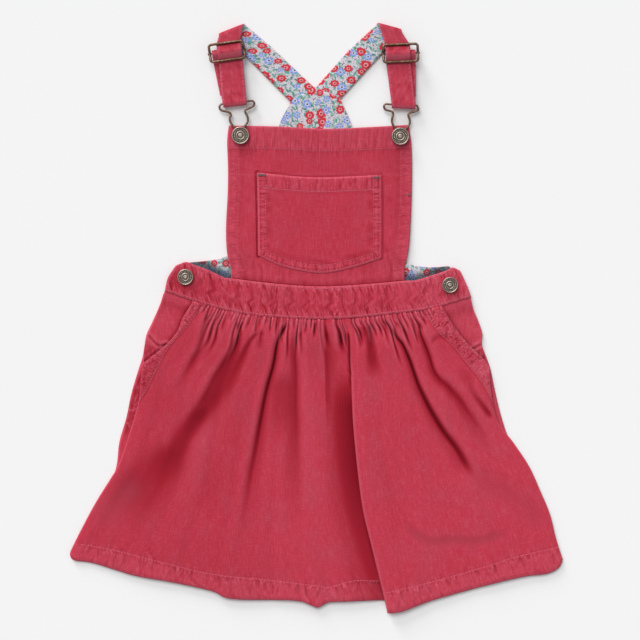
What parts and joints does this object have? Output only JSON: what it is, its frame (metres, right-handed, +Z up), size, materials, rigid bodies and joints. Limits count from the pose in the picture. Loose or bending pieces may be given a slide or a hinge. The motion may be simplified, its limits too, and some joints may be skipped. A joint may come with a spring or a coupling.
{
  "type": "child's pinafore dress",
  "caption": "Child's needlecord pinafore dress laid flat: gathered skirt, bib with pocket, printed back lining, straps with sliders and wire clips hooked on buttons.",
  "frame": {"origin": "on the surface that the dress lies on, under the middle of its outline", "axes": "+X to the right of someone looking down at the dress's front, +Y towards the shoulders, +Z up off the surface, out of the front"},
  "size_m": [0.493, 0.5906, 0.0127],
  "materials": {
    "needlecord": "garment-washed fine needlecord, soft sheen, seams rubbed lighter",
    "printed_cotton": "matt cotton with a small flower print",
    "antique_brass": "dark antique plating, rubbed lighter on its high places",
    "old_silver": "pewter-coloured, darkened in its hollows"
  },
  "bodies": {
    "root": {"skirt_front": "needlecord", "skirt_back": "needlecord", "pocket_facing_left": "needlecord", "pocket_facing_right": "needlecord", "waistband_front": "needlecord", "waistband_back": "needlecord", "bib_front": "needlecord", "bib_pocket": "needlecord", "bib_back": "needlecord", "back_lining": "printed_cotton", "strap_left": "needlecord", "strap_right": "needlecord", "strap_lining_left": "printed_cotton", "strap_lining_right": "printed_cotton", "slider_left": "antique_brass", "slider_right": "antique_brass", "clip_left": "antique_brass", "clip_right": "antique_brass", "bib_button_left": "old_silver", "bib_button_right": "old_silver", "side_button_left": "old_silver", "side_button_right": "old_silver"}
  },
  "joints": []
}
